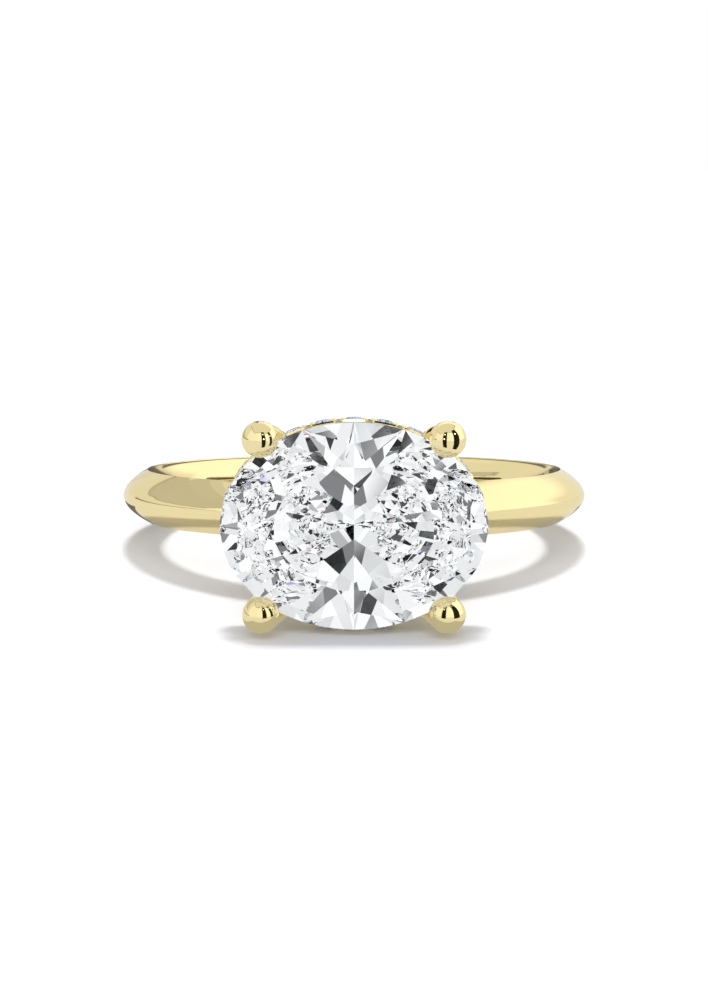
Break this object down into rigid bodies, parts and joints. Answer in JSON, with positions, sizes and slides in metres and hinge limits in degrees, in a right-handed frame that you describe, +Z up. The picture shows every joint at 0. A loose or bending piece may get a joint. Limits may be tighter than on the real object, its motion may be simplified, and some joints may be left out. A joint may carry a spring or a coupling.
{
  "type": "engagement ring with a hidden halo",
  "caption": "Knife-edge ring with an oval faceted stone set across the finger in four ball-tipped prongs over a hidden paved rail.",
  "frame": {"origin": "on the surface the ring lies on, under the middle of its box", "axes": "+Z up as it lies at rest; the stone faces -Y and its length runs along X; the finger's axis is +Z leaning a few degrees towards +Y"},
  "size_m": [0.019, 0.0248, 0.0075],
  "materials": {
    "yellow_gold": "mirror-polished pale yellow gold",
    "diamond": "faceted, clear and colourless"
  },
  "bodies": {
    "root": {"ring_setting": "yellow_gold", "center_stone": "diamond"}
  },
  "joints": []
}
